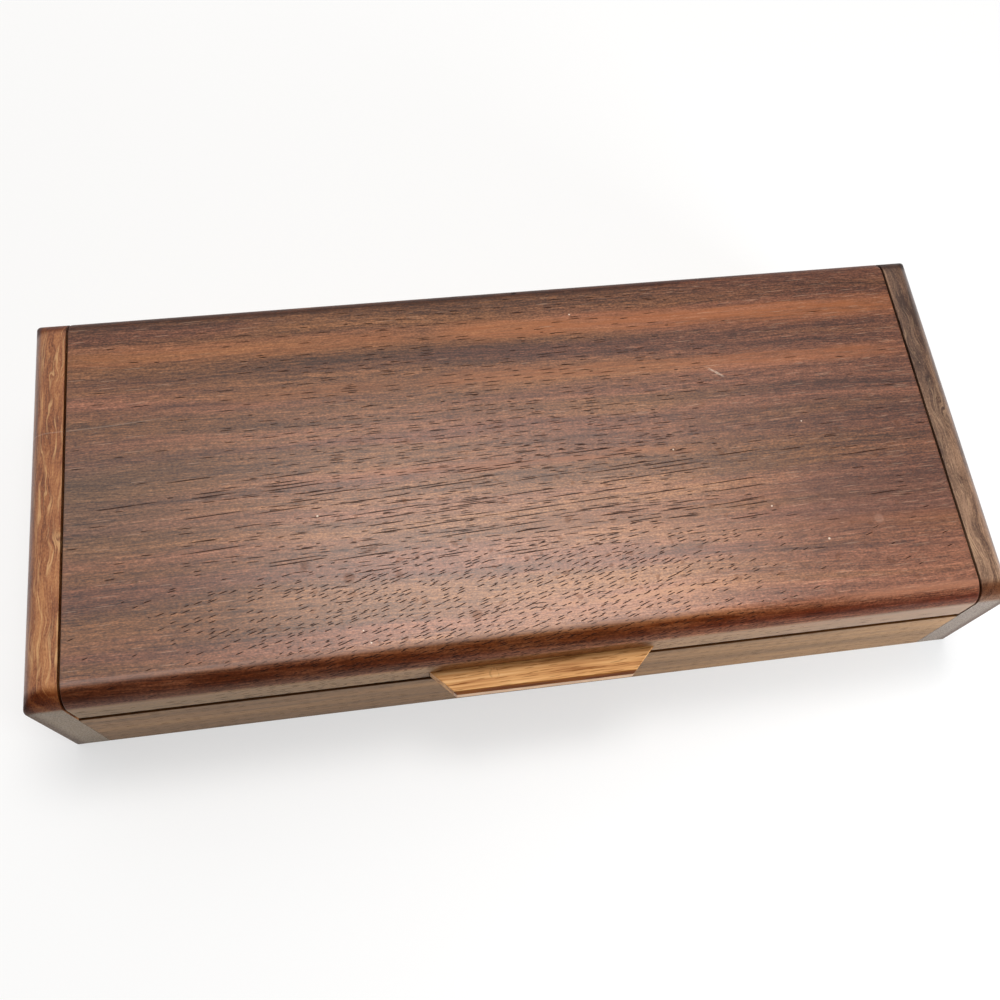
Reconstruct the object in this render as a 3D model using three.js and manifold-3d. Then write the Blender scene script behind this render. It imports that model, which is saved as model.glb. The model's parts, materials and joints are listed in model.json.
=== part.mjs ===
// Long low wooden valet box: two full-height end blocks, a front and a back rail dowelled between
// them, a bottom panel in a groove, liner strips that trap two dividers, and a thick solid lid with
// an oak finger pull. The lid swings on two brass pins that stand in the end blocks, and closes on
// the liner, which stands above the rails and leaves the dark seam round the box.
// Millimetres. +X runs along the box, +Y to its back, +Z up.
// The origin is on the underside, at the middle of the whole footprint with the pull.

import * as THREE from 'three';
import { mergeVertices } from 'three/addons/utils/BufferGeometryUtils.js';
import Module from 'manifold-3d';

const wasm = await Module();
wasm.setup();

// Driving dimensions of the box. The edge radius is that of all four top edges, and the corner radius
// that of the upright corners.
const BOX_LENGTH = 302.5;
const BODY_DEPTH = 129;
const BOX_HEIGHT = 53;
const EDGE_RADIUS = 7.2;
const CORNER_RADIUS = 1;
const EASE = 0.5;

// Thicknesses
const END_THICKNESS = 11;
const RAIL_THICKNESS = 10;
const LID_THICKNESS = 17.2;
const PANEL_THICKNESS = 5;
const DIVIDER_THICKNESS = 6;
const LINER_THICKNESS = 3;

// Gaps that show, and the clearances of the joints
const END_GAP = 0.7;
const SEAM_GAP = 3;
const GLUE_LINE = 0.15;
const SEAT_GAP = 0.3;

// Finger pull, let into a notch in the lid's lower front edge and flush with its underside
const PULL_BACK_LENGTH = 70;
const PULL_FRONT_LENGTH = 55.2;
const PULL_PROJECTION = 7.6;
const PULL_THICKNESS = 5.6;
const PULL_NOTCH_DEPTH = 2.5;
const PULL_BEVEL_DEPTH = 0.85;
const PULL_BEVEL_HEIGHT = 2;

// Pin hinge. The lid stops when its rounded back edge comes down on the back rail.
const PIN_RADIUS = 1.5;
const PIN_CLEARANCE = 0.1;
const PIN_IN_BLOCK = 6;
const PIN_IN_LID = 9;
const PIN_RISE = 4.5;
const OPEN_ANGLE = 97;
const STOP_CLEARANCE = 0.3;

// Bottom panel in its groove
const PANEL_RECESS = 3;
const GROOVE_DEPTH = 4;
const PANEL_FLOAT = 0.3;

// Dowels between the rails and the end blocks. The margin is from a dowel's centre to the floor or to
// the top of the rail.
const DOWEL_RADIUS = 2.5;
const DOWEL_LENGTH = 14;
const DOWEL_MARGIN = 6.5;

// Lining pads on the floor
const LINING_THICKNESS = 3;
const LINING_EDGE = 0.8;
const LINING_MARGIN = 0.5;

// The longest straight piece that a round edge is drawn with
const FACET = 0.7;
const ROUND_SIDES = 24;

// Places that follow from the driving dimensions
const BACK_Y = (BODY_DEPTH + PULL_PROJECTION) / 2;
const FRONT_Y = BACK_Y - BODY_DEPTH;
const OUTER_X = BOX_LENGTH / 2;
const INNER_X = OUTER_X - END_THICKNESS;
const LID_UNDERSIDE = BOX_HEIGHT - LID_THICKNESS;
const RAIL_HEIGHT = LID_UNDERSIDE - SEAM_GAP;
const FLOOR_TOP = PANEL_RECESS + PANEL_THICKNESS;
const FRONT_RAIL_INNER_Y = FRONT_Y + RAIL_THICKNESS;
const BACK_RAIL_INNER_Y = BACK_Y - RAIL_THICKNESS;
const HINGE_Z = LID_UNDERSIDE + PIN_RISE;
const HINGE_SETBACK = hingeSetback();
const HINGE_Y = BACK_Y - HINGE_SETBACK;

// Inner faces of the liner, and the three equal compartments that the dividers leave inside it
const LINED_X = INNER_X - GLUE_LINE - LINER_THICKNESS;
const LINED_FRONT_Y = FRONT_RAIL_INNER_Y + GLUE_LINE + LINER_THICKNESS;
const LINED_BACK_Y = BACK_RAIL_INNER_Y - GLUE_LINE - LINER_THICKNESS;
const LINER_TOP = LID_UNDERSIDE - SEAT_GAP;
const COMPARTMENTS = ['left', 'middle', 'right'];
const COMPARTMENT_WIDTH =
  (2 * LINED_X - (COMPARTMENTS.length - 1) * DIVIDER_THICKNESS) / COMPARTMENTS.length;

// How far the pins stand in from the back face, so that the lid's round-over, turned to the open
// angle, hangs the stop clearance above the back rail.
function hingeSetback() {
  const past = THREE.MathUtils.degToRad(OPEN_ANGLE - 90);
  const roundCentreRise = LID_THICKNESS - EDGE_RADIUS - PIN_RISE;
  const reachDown = PIN_RISE + SEAM_GAP - STOP_CLEARANCE - EDGE_RADIUS;
  return EDGE_RADIUS + (reachDown - roundCentreRise * Math.sin(past)) / Math.cos(past);
}

// Points of an arc, with as many steps as its length needs
function arcPoints(centreX, centreY, radius, start, end) {
  const steps = Math.max(1, Math.round((radius * Math.abs(end - start)) / FACET));
  return Array.from({ length: steps + 1 }, (_, step) => {
    const angle = start + ((end - start) * step) / steps;
    return new THREE.Vector2(
      centreX + radius * Math.cos(angle),
      centreY + radius * Math.sin(angle),
    );
  });
}

// A rectangle with its own radius at each corner, counter-clockwise from the lower left
function roundedRectangle(left, bottom, right, top, radii) {
  const quarter = Math.PI / 2;
  const { lowerLeft = 0, lowerRight = 0, upperRight = 0, upperLeft = 0 } = radii;
  const corners = [
    [left, bottom, 1, 1, lowerLeft, 2],
    [right, bottom, -1, 1, lowerRight, 3],
    [right, top, -1, -1, upperRight, 0],
    [left, top, 1, -1, upperLeft, 1],
  ];
  const points = corners.flatMap(([x, y, inwardX, inwardY, radius, turn]) =>
    radius > 0
      ? arcPoints(x + inwardX * radius, y + inwardY * radius, radius,
        turn * quarter, (turn + 1) * quarter)
      : [new THREE.Vector2(x, y)],
  );
  return new THREE.Shape(points);
}

// A closed outline pushed along one axis of the box. Across X the outline holds (Y, Z), across Y it
// holds (X, Z), and across Z it holds (X, Y).
function extrudeAcross(axis, outline, from, to) {
  const geometry = new THREE.ExtrudeGeometry(outline, { depth: to - from, bevelEnabled: false });
  const turn = new THREE.Matrix4();
  if (axis === 'x') {
    turn.makeBasis(axisVector(0, 1, 0), axisVector(0, 0, 1), axisVector(1, 0, 0));
    geometry.applyMatrix4(turn);
    geometry.translate(from, 0, 0);
  } else if (axis === 'y') {
    turn.makeBasis(axisVector(1, 0, 0), axisVector(0, 0, 1), axisVector(0, -1, 0));
    geometry.applyMatrix4(turn);
    geometry.translate(0, to, 0);
  } else {
    geometry.translate(0, 0, from);
  }
  return solid(geometry);
}

function axisVector(x, y, z) {
  return new THREE.Vector3(x, y, z);
}

// A rectangular block between two corners, used for grooves and notches
function block(x0, y0, z0, x1, y1, z1) {
  const geometry = new THREE.BoxGeometry(x1 - x0, y1 - y0, z1 - z0);
  geometry.translate((x0 + x1) / 2, (y0 + y1) / 2, (z0 + z1) / 2);
  return solid(geometry);
}

// A round rod along X, for dowels and pins and for the bores that take them
function rodGeometry(radius, x0, x1, y, z) {
  const geometry = new THREE.CylinderGeometry(radius, radius, x1 - x0, ROUND_SIDES);
  geometry.rotateZ(-Math.PI / 2);
  geometry.translate((x0 + x1) / 2, y, z);
  return geometry;
}

function bore(radius, x0, x1, y, z) {
  return solid(rodGeometry(radius, Math.min(x0, x1), Math.max(x0, x1), y, z));
}

// A closed three.js geometry as a solid that can be cut and joined
function solid(geometry) {
  const bare = geometry.clone();
  bare.deleteAttribute('normal');
  bare.deleteAttribute('uv');
  const merged = mergeVertices(bare, 1e-5);
  return new wasm.Manifold(new wasm.Mesh({
    numProp: 3,
    vertProperties: new Float32Array(merged.attributes.position.array),
    triVerts: new Uint32Array(merged.index.array),
  }));
}

function cut(body, tools) {
  return tools.reduce((rest, tool) => rest.subtract(tool), body);
}

function toGeometry(body) {
  const mesh = body.getMesh();
  const geometry = new THREE.BufferGeometry();
  geometry.setAttribute('position', new THREE.BufferAttribute(mesh.vertProperties, 3));
  geometry.setIndex(new THREE.BufferAttribute(mesh.triVerts, 1));
  geometry.computeVertexNormals();
  return geometry;
}

// Finishes
const rosewood = { color: 0x6e4f42, roughness: 0.38, metalness: 0 };
const paleRosewood = { color: 0xa5734b, roughness: 0.4, metalness: 0 };
const brownRosewood = { color: 0x6e5546, roughness: 0.4, metalness: 0 };
const oak = { color: 0xd29b5f, roughness: 0.45, metalness: 0 };
const birch = { color: 0xc9a878, roughness: 0.6, metalness: 0 };
const beech = { color: 0xc8a07a, roughness: 0.6, metalness: 0 };
const brass = { color: 0xb8924e, roughness: 0.3, metalness: 1 };
const suede = { color: 0x3a302c, roughness: 0.95, metalness: 0 };

const valetBox = new THREE.Group();

function addPiece(name, geometry, finish, parent = valetBox) {
  const mesh = new THREE.Mesh(geometry, new THREE.MeshStandardMaterial({ ...finish, flatShading: true }));
  mesh.name = name;
  parent.add(mesh);
  return mesh;
}

// The round-over runs along the front and back top edges of lid and end blocks alike
function endBlockSideOutline() {
  return roundedRectangle(FRONT_Y, 0, BACK_Y, BOX_HEIGHT, {
    lowerLeft: EASE, lowerRight: EASE, upperRight: EDGE_RADIUS, upperLeft: EDGE_RADIUS,
  });
}

// Heights of the two dowels in each corner
const dowelHeights = { lower: FLOOR_TOP + DOWEL_MARGIN, upper: RAIL_HEIGHT - DOWEL_MARGIN };
const dowelDepths = {
  front: FRONT_Y + RAIL_THICKNESS / 2,
  back: BACK_Y - RAIL_THICKNESS / 2,
};
const dowelBoreRadius = DOWEL_RADIUS + GLUE_LINE;
const dowelReach = DOWEL_LENGTH / 2 + SEAT_GAP;
const pinBoreRadius = PIN_RADIUS + PIN_CLEARANCE;

// An end block: the side outline, the end outline and the plan crossed with each other, so that the
// two round-overs meet in a mitre at the top corners. side is -1 on the left and 1 on the right.
function endBlock(side) {
  const outer = side * OUTER_X;
  const inner = side * INNER_X;
  const low = Math.min(outer, inner);
  const high = Math.max(outer, inner);
  const outerIsLeft = side < 0;
  const endOutline = roundedRectangle(low, 0, high, BOX_HEIGHT, outerIsLeft
    ? { lowerLeft: EASE, upperLeft: EDGE_RADIUS }
    : { lowerRight: EASE, upperRight: EDGE_RADIUS });
  const plan = roundedRectangle(low, FRONT_Y, high, BACK_Y, outerIsLeft
    ? { lowerLeft: CORNER_RADIUS, upperLeft: CORNER_RADIUS }
    : { lowerRight: CORNER_RADIUS, upperRight: CORNER_RADIUS });
  const body = extrudeAcross('x', endBlockSideOutline(), low, high)
    .intersect(extrudeAcross('y', endOutline, FRONT_Y, BACK_Y))
    .intersect(extrudeAcross('z', plan, 0, BOX_HEIGHT));

  const grooveEnd = inner + side * GROOVE_DEPTH;
  const groove = block(
    Math.min(inner - side, grooveEnd), FRONT_RAIL_INNER_Y - GROOVE_DEPTH, PANEL_RECESS - GLUE_LINE,
    Math.max(inner - side, grooveEnd), BACK_RAIL_INNER_Y + GROOVE_DEPTH, FLOOR_TOP + GLUE_LINE,
  );
  const dowelBores = Object.values(dowelDepths).flatMap((y) =>
    Object.values(dowelHeights).map((z) =>
      bore(dowelBoreRadius, inner - side, inner + side * dowelReach, y, z)),
  );
  const pinBore = bore(pinBoreRadius, inner - side, inner + side * (PIN_IN_BLOCK + SEAT_GAP),
    HINGE_Y, HINGE_Z);
  return cut(body, [groove, ...dowelBores, pinBore]);
}

// A rail between the end blocks, with the panel's groove and two dowel bores in each end.
// row is 'front' or 'back'.
function rail(row) {
  const atFront = row === 'front';
  const outerY = atFront ? FRONT_Y : BACK_Y;
  const innerY = atFront ? FRONT_RAIL_INNER_Y : BACK_RAIL_INNER_Y;
  const outward = atFront ? -1 : 1;
  const half = INNER_X - GLUE_LINE;
  const outline = roundedRectangle(
    Math.min(outerY, innerY), 0, Math.max(outerY, innerY), RAIL_HEIGHT,
    { lowerLeft: EASE, lowerRight: EASE, upperRight: EASE, upperLeft: EASE },
  );
  const body = extrudeAcross('x', outline, -half, half);

  const grooveBottomY = innerY + outward * GROOVE_DEPTH;
  const openY = innerY - outward;
  const groove = block(
    -half - 1, Math.min(openY, grooveBottomY), PANEL_RECESS - GLUE_LINE,
    half + 1, Math.max(openY, grooveBottomY), FLOOR_TOP + GLUE_LINE,
  );
  const bores = [-1, 1].flatMap((side) => Object.values(dowelHeights).map((z) =>
    bore(dowelBoreRadius, side * (half + 1), side * (INNER_X - dowelReach), dowelDepths[row], z)));
  return cut(body, [groove, ...bores]);
}

// The panel floats in the grooves of the rails and the end blocks
function bottomPanel() {
  const reach = GROOVE_DEPTH - PANEL_FLOAT;
  return block(
    -INNER_X - reach, FRONT_RAIL_INNER_Y - reach, PANEL_RECESS,
    INNER_X + reach, BACK_RAIL_INNER_Y + reach, FLOOR_TOP,
  );
}

// Left and right walls of a compartment, counted from the left
function compartmentWalls(index) {
  const left = -LINED_X + index * (COMPARTMENT_WIDTH + DIVIDER_THICKNESS);
  return [left, left + COMPARTMENT_WIDTH];
}

// A divider stands on the panel to the right of a compartment and reaches from rail to rail,
// trapped between the ends of the liner strips
function divider(index) {
  const left = compartmentWalls(index)[1];
  const outline = roundedRectangle(left, FLOOR_TOP + GLUE_LINE, left + DIVIDER_THICKNESS, RAIL_HEIGHT,
    { upperRight: EASE, upperLeft: EASE });
  return extrudeAcross('y', outline, FRONT_RAIL_INNER_Y + GLUE_LINE, BACK_RAIL_INNER_Y - GLUE_LINE);
}

// A liner strip glued to a rail along one compartment. The back one is lower, to stay clear of the
// lid's lower back edge as that turns about the pins.
function railLiner(row, index) {
  const [left, right] = compartmentWalls(index);
  const from = index === 0 ? -INNER_X : left;
  const to = index === COMPARTMENTS.length - 1 ? INNER_X : right;
  const atFront = row === 'front';
  const [near, far] = atFront
    ? [FRONT_RAIL_INNER_Y + GLUE_LINE, LINED_FRONT_Y]
    : [LINED_BACK_Y, BACK_RAIL_INNER_Y - GLUE_LINE];
  const top = atFront ? LINER_TOP : Math.min(LINER_TOP, HINGE_Z - hingeSweepBelow(HINGE_Y - far));
  const outline = roundedRectangle(near, FLOOR_TOP + GLUE_LINE, far, top,
    { upperRight: EASE, upperLeft: EASE });
  return extrudeAcross('x', outline, from + GLUE_LINE, to - GLUE_LINE);
}

// How far below the pins the turning lid reaches, with clearance, at a distance in front of them
function hingeSweepBelow(inFront) {
  const sweep = HINGE_SETBACK + STOP_CLEARANCE;
  return Math.sqrt(Math.max(0, sweep ** 2 - inFront ** 2));
}

// A liner strip glued to an end block, between the front and the back liner
function endLiner(side) {
  const low = side < 0 ? -INNER_X + GLUE_LINE : LINED_X;
  const outline = roundedRectangle(low, FLOOR_TOP + GLUE_LINE, low + LINER_THICKNESS, LINER_TOP,
    { upperRight: EASE, upperLeft: EASE });
  return extrudeAcross('y', outline, LINED_FRONT_Y + GLUE_LINE, LINED_BACK_Y - GLUE_LINE);
}

// The lid's outline from the side. Its lower back edge is rounded about the pins, so that it turns
// without touching the back rail.
function lidOutline() {
  const quarter = Math.PI / 2;
  const lowerBackStart = -Math.asin(PIN_RISE / HINGE_SETBACK);
  return new THREE.Shape([
    ...arcPoints(FRONT_Y + EASE, LID_UNDERSIDE + EASE, EASE, 2 * quarter, 3 * quarter),
    ...arcPoints(HINGE_Y, HINGE_Z, HINGE_SETBACK, lowerBackStart, 0),
    ...arcPoints(BACK_Y - EDGE_RADIUS, BOX_HEIGHT - EDGE_RADIUS, EDGE_RADIUS, 0, quarter),
    ...arcPoints(FRONT_Y + EDGE_RADIUS, BOX_HEIGHT - EDGE_RADIUS, EDGE_RADIUS, quarter, 2 * quarter),
  ]);
}

const pullTop = LID_UNDERSIDE + PULL_THICKNESS;

function lid() {
  const half = INNER_X - END_GAP;
  const body = extrudeAcross('x', lidOutline(), -half, half);
  const pinBores = [-1, 1].map((side) => bore(pinBoreRadius, side * (half + 1),
    side * (half - PIN_IN_LID - SEAT_GAP), HINGE_Y, HINGE_Z));
  const notchHalf = PULL_BACK_LENGTH / 2 + GLUE_LINE;
  const notch = block(
    -notchHalf, FRONT_Y - 1, LID_UNDERSIDE - 1,
    notchHalf, FRONT_Y + PULL_NOTCH_DEPTH + GLUE_LINE, pullTop + GLUE_LINE,
  );
  return cut(body, [...pinBores, notch]);
}

// The pull: a tapered plan crossed with a side outline that has a bevel along its front top edge
function fingerPull() {
  const backHalf = PULL_BACK_LENGTH / 2;
  const frontHalf = PULL_FRONT_LENGTH / 2;
  const backY = FRONT_Y + PULL_NOTCH_DEPTH;
  const frontY = FRONT_Y - PULL_PROJECTION;
  const plan = new THREE.Shape([
    new THREE.Vector2(-frontHalf, frontY),
    new THREE.Vector2(frontHalf, frontY),
    new THREE.Vector2(backHalf, FRONT_Y),
    new THREE.Vector2(backHalf, backY),
    new THREE.Vector2(-backHalf, backY),
    new THREE.Vector2(-backHalf, FRONT_Y),
  ]);
  const side = new THREE.Shape([
    new THREE.Vector2(frontY, LID_UNDERSIDE),
    new THREE.Vector2(backY, LID_UNDERSIDE),
    new THREE.Vector2(backY, pullTop),
    new THREE.Vector2(frontY + PULL_BEVEL_DEPTH, pullTop),
    new THREE.Vector2(frontY, pullTop - PULL_BEVEL_HEIGHT),
  ]);
  return extrudeAcross('z', plan, LID_UNDERSIDE, pullTop)
    .intersect(extrudeAcross('x', side, -backHalf, backHalf));
}

// A lining pad with soft edges, lying on the floor of one compartment
function liningGeometry(index) {
  const [left, right] = compartmentWalls(index);
  const inset = LINING_MARGIN + LINING_EDGE;
  const outline = roundedRectangle(
    left + inset, LINED_FRONT_Y + inset, right - inset, LINED_BACK_Y - inset, {});
  const geometry = new THREE.ExtrudeGeometry(outline, {
    depth: LINING_THICKNESS - 2 * LINING_EDGE,
    bevelThickness: LINING_EDGE,
    bevelSize: LINING_EDGE,
    bevelSegments: 3,
  });
  geometry.translate(0, 0, FLOOR_TOP + SEAT_GAP + LINING_EDGE);
  return geometry;
}

// The base and everything that is fixed to it
addPiece('end_block_left', toGeometry(endBlock(-1)), paleRosewood);
addPiece('end_block_right', toGeometry(endBlock(1)), brownRosewood);
addPiece('front_rail', toGeometry(rail('front')), rosewood);
addPiece('back_rail', toGeometry(rail('back')), rosewood);
addPiece('bottom_panel', toGeometry(bottomPanel()), birch);
['left', 'right'].forEach((name, index) =>
  addPiece(`divider_${name}`, toGeometry(divider(index)), rosewood));
COMPARTMENTS.forEach((name, index) => {
  addPiece(`liner_front_${name}`, toGeometry(railLiner('front', index)), rosewood);
  addPiece(`liner_back_${name}`, toGeometry(railLiner('back', index)), rosewood);
  addPiece(`lining_${name}`, liningGeometry(index), suede);
});

for (const [sideName, side] of [['left', -1], ['right', 1]]) {
  for (const [row, y] of Object.entries(dowelDepths)) {
    for (const [level, z] of Object.entries(dowelHeights)) {
      const middle = side * INNER_X;
      const dowel = rodGeometry(DOWEL_RADIUS, middle - DOWEL_LENGTH / 2, middle + DOWEL_LENGTH / 2, y, z);
      addPiece(`dowel_${row}_${sideName}_${level}`, dowel, beech);
    }
  }
  const pinEnds = [side * (INNER_X + PIN_IN_BLOCK), side * (INNER_X - END_GAP - PIN_IN_LID)];
  const pin = rodGeometry(PIN_RADIUS, Math.min(...pinEnds), Math.max(...pinEnds), HINGE_Y, HINGE_Z);
  addPiece(`hinge_pin_${sideName}`, pin, brass);
  addPiece(`liner_end_${sideName}`, toGeometry(endLiner(side)), rosewood);
}

// The lid and its pull turn together about the pins
const lidGroup = new THREE.Group();
valetBox.add(lidGroup);
addPiece('lid', toGeometry(lid()), rosewood, lidGroup);
addPiece('finger_pull', toGeometry(fingerPull()), oak, lidGroup);

export default valetBox;
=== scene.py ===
# %% [markdown]
# # A long low valet box in rosewood
# The box has two end blocks that stand the full height, a front and a back rail between them, and a thick
# solid lid that swings on two hidden brass pins. Every piece is a board with softened edges, so most of this
# lesson is about two things: carrying an outline along a board, and growing wood inside it with nodes.
# The packed model is loaded first, because it says where each board is. Nothing here moves it.

# %% Load the packed box
import json
from types import SimpleNamespace

import bmesh
import bpy
import numpy as np
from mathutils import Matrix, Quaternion, Vector


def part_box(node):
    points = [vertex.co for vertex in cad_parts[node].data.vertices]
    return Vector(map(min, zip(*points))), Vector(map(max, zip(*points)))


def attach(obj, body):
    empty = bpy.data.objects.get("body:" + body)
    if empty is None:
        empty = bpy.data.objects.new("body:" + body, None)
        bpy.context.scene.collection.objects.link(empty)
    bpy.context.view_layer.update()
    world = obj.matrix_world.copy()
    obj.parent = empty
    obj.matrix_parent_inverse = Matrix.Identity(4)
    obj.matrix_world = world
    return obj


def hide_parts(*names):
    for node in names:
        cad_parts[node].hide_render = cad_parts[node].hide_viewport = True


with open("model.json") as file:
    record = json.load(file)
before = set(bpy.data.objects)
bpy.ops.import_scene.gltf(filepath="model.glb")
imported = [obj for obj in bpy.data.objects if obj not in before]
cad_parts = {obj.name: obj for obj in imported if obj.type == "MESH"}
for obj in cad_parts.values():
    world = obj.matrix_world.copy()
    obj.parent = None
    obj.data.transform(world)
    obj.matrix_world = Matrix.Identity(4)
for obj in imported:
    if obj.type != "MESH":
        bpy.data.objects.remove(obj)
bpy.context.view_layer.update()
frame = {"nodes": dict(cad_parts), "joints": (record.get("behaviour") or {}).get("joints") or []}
MM = 0.001

# %% [markdown]
# ## The camera
# The photograph was taken from above and a little in front, with the phone turned slightly. The camera was
# solved from the box's edges and seams, so its place, turn, lens and small shift are plain numbers here.

# %% Camera
camera = bpy.data.objects.new("camera", bpy.data.cameras.new("camera"))
bpy.context.scene.collection.objects.link(camera)
camera.location = (-0.040047, -0.137646, 0.353541)
camera.rotation_euler = np.radians((22.153, -4.303, -7.987))
camera.data.sensor_width = 36
camera.data.lens = 37.5404
camera.data.shift_x = -0.025565
camera.data.shift_y = 0.020928
camera.data.clip_start = 0.01
bpy.context.scene.camera = camera
bpy.context.scene.view_settings.view_transform = "Standard"
print("camera lens in mm:", camera.data.lens)

# %% [markdown]
# ## Shader maths as Python expressions
# A material is a tree of nodes, and long trees are hard to read as lists of links. Here one small class
# stands for an output socket, and adding or multiplying two of them adds the Math node that does it. One
# method makes every other node: its settings come first, and then the values or links of its sockets.

# %% A wire
class Wire:
    """One output of a node. wire + 1, 1 - wire, wire * other and wire / 2 each add a Math node."""

    def __init__(self, bench, socket):
        self.bench, self.socket = bench, socket

    def __getitem__(self, name):
        return Wire(self.bench, self.socket.node.outputs[name])

    def __add__(self, other):
        return self.bench.math("ADD", self, other)

    def __radd__(self, other):
        return self.bench.math("ADD", other, self)

    def __sub__(self, other):
        return self.bench.math("SUBTRACT", self, other)

    def __rsub__(self, other):
        return self.bench.math("SUBTRACT", other, self)

    def __mul__(self, other):
        return self.bench.math("MULTIPLY", self, other)

    def __rmul__(self, other):
        return self.bench.math("MULTIPLY", other, self)

    def __truediv__(self, other):
        return self.bench.math("DIVIDE", self, other)

    def __abs__(self):
        return self.bench.math("ABSOLUTE", self)


print("a wire has", len(vars(Wire)), "attributes, most of them operators")

# %% The bench it is wired on
class Bench:
    """A node tree that is being filled. node() makes every node in it."""

    def __init__(self, tree):
        self.tree = tree
        self.tree.nodes.clear()

    def node(self, kind, settings=None, sockets=None, output=0):
        made = self.tree.nodes.new(kind)
        count = len(self.tree.nodes)
        made.location = (200 * (count % 14), -260 * (count // 14))
        for name, value in (settings or {}).items():
            if name == "stops":
                self.fill_ramp(made.color_ramp, value)
            else:
                setattr(made, name, value)
        for name, value in (sockets or {}).items():
            if isinstance(value, Wire):
                self.tree.links.new(value.socket, made.inputs[name])
            else:
                made.inputs[name].default_value = value
        return Wire(self, made.outputs[output]) if made.outputs else made

    @staticmethod
    def fill_ramp(ramp, stops):
        for _ in stops[2:]:
            ramp.elements.new(0.5)
        for element, (place, colour) in zip(ramp.elements, stops):
            element.position = place
            element.color = (*colour, 1)

    def math(self, operation, *terms):
        return self.node("ShaderNodeMath", {"operation": operation}, dict(enumerate(terms)))

    def vector(self, operation, *terms):
        return self.node("ShaderNodeVectorMath", {"operation": operation}, dict(enumerate(terms)))

    def point(self, x, y, z=0.0):
        return self.node("ShaderNodeCombineXYZ", {}, {0: x, 1: y, 2: z})

    def parts(self, vector):
        split = self.node("ShaderNodeSeparateXYZ", {}, {0: vector})
        return split["X"], split["Y"], split["Z"]

    def soft_step(self, value, low, high, start=0.0, end=1.0):
        """start below low and end above high, with a smooth passage between."""
        return self.node(
            "ShaderNodeMapRange",
            {"interpolation_type": "SMOOTHSTEP", "clamp": True},
            {"Value": value, "From Min": low, "From Max": high, "To Min": start, "To Max": end},
        )

    def larger(self, first, *others):
        """The largest of its terms at each place."""
        for other in others:
            first = self.math("MAXIMUM", first, other)
        return first

    def distance(self, here, x, y):
        """How far a place on the level lies from the point (x, y)."""
        return self.vector("DISTANCE", here, (x, y, 0.0))["Value"]

    def noise(self, vector, detail=2.0, roughness=0.5, distortion=0.0):
        """Noise with features about one unit of its vector across, near 0.5 on average."""
        return self.node(
            "ShaderNodeTexNoise",
            {"noise_dimensions": "3D"},
            {"Vector": vector, "Scale": 1.0, "Detail": detail, "Roughness": roughness,
             "Distortion": distortion},
        )

    def colour(self, factor, first, second, blend="MIX"):
        """first where factor is 0 and second where it is 1."""
        first, second = ((*c, 1) if isinstance(c, tuple) else c for c in (first, second))
        return self.node(
            "ShaderNodeMix",
            {"data_type": "RGBA", "blend_type": blend, "clamp_factor": True},
            {0: factor, 6: first, 7: second},
            output=2,
        )

    def stain(self, share, colour, tint):
        """The colour times the tint where share is 1, and as it was where share is 0."""
        return self.colour(share, colour, tint, "MULTIPLY")

    def ramp(self, value, places, colours):
        """The value looked up in a row of colours, blended between their places."""
        return self.node("ShaderNodeValToRGB", {"stops": list(zip(places, colours))}, {"Fac": value})


print("the bench makes:", [name for name in vars(Bench) if not name.startswith("_")])

# %% Colours and surfaces
# How deep the relief of a surface is where its height goes from 1 to 0
RELIEF = 0.1 * MM


def rgb(red, green, blue):
    """A colour as a screen shows it, 0 to 255, turned into the linear numbers that shaders add up."""
    share = np.array((red, green, blue)) / 255
    linear = np.where(share <= 0.04045, share / 12.92, ((share + 0.055) / 1.055) ** 2.4)
    return tuple(float(value) for value in linear)


def new_material(name):
    material = bpy.data.materials.new(name)
    material.use_nodes = True
    return material, Bench(material.node_tree)


def finish_surface(bench, colour, roughness, height, depth, **constants):
    """The shader at the end of a tree. height is a wire from 0 to 1 and depth its relief in metres."""
    bump = bench.node("ShaderNodeBump", {}, {"Strength": 1.0, "Distance": depth, "Height": height})
    shader = bench.node(
        "ShaderNodeBsdfPrincipled", {},
        {"Base Color": colour, "Roughness": roughness, "Normal": bump, **constants},
    )
    bench.node("ShaderNodeOutputMaterial", {}, {"Surface": shader})


def place_in_mm(bench):
    """The place in the piece, in millimetres, as three wires."""
    here = bench.node("ShaderNodeTexCoord", output="Object")
    return bench.parts(bench.vector("MULTIPLY", here, (1 / MM, 1 / MM, 1 / MM)))


print("a middle grey of 128 in linear numbers:", round(rgb(128, 128, 128)[0], 4))

# %% [markdown]
# ## Floor and light
# The box stands on a white table. A long lamp above puts the sheen on the front half of the lid. A squarer
# one in the same place, which mirrors nowhere, fills the light up, and so does a weak low one at the right.
# The room is bright behind and dim in front, so the rounded front edge gets little light, and its deep dark red
# is painted shade in its colour.

# %% Floor
FLOOR_HALF = 4.0
FLOOR_GLOW = 0.56


def make_floor():
    """A square round the origin. Its corners are those of the unit square times half the floor's side."""
    mesh = bpy.data.meshes.new("floor")
    corners = np.array([(-1, -1, 0), (1, -1, 0), (1, 1, 0), (-1, 1, 0)]) * FLOOR_HALF
    mesh.from_pydata(corners, [], [(0, 1, 2, 3)])
    floor = bpy.data.objects.new("floor", mesh)
    bpy.context.scene.collection.objects.link(floor)
    material, bench = new_material("white_table")
    seen = bench.node("ShaderNodeLightPath")
    direct = bench.larger(seen["Is Camera Ray"], seen["Is Glossy Ray"], seen["Is Transmission Ray"])
    plain = bench.node("ShaderNodeBsdfDiffuse", {}, {"Color": (0.95, 0.965, 0.985, 1)})
    white = bench.node("ShaderNodeEmission", {}, {"Color": (1, 1, 1, 1), "Strength": 1.0})
    both = bench.node("ShaderNodeMixShader", {}, {0: direct * FLOOR_GLOW, 1: plain, 2: white})
    bench.node("ShaderNodeOutputMaterial", {}, {"Surface": both})
    mesh.materials.append(material)
    return floor


print(make_floor().name, "is", 2 * FLOOR_HALF, "m wide")

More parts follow.
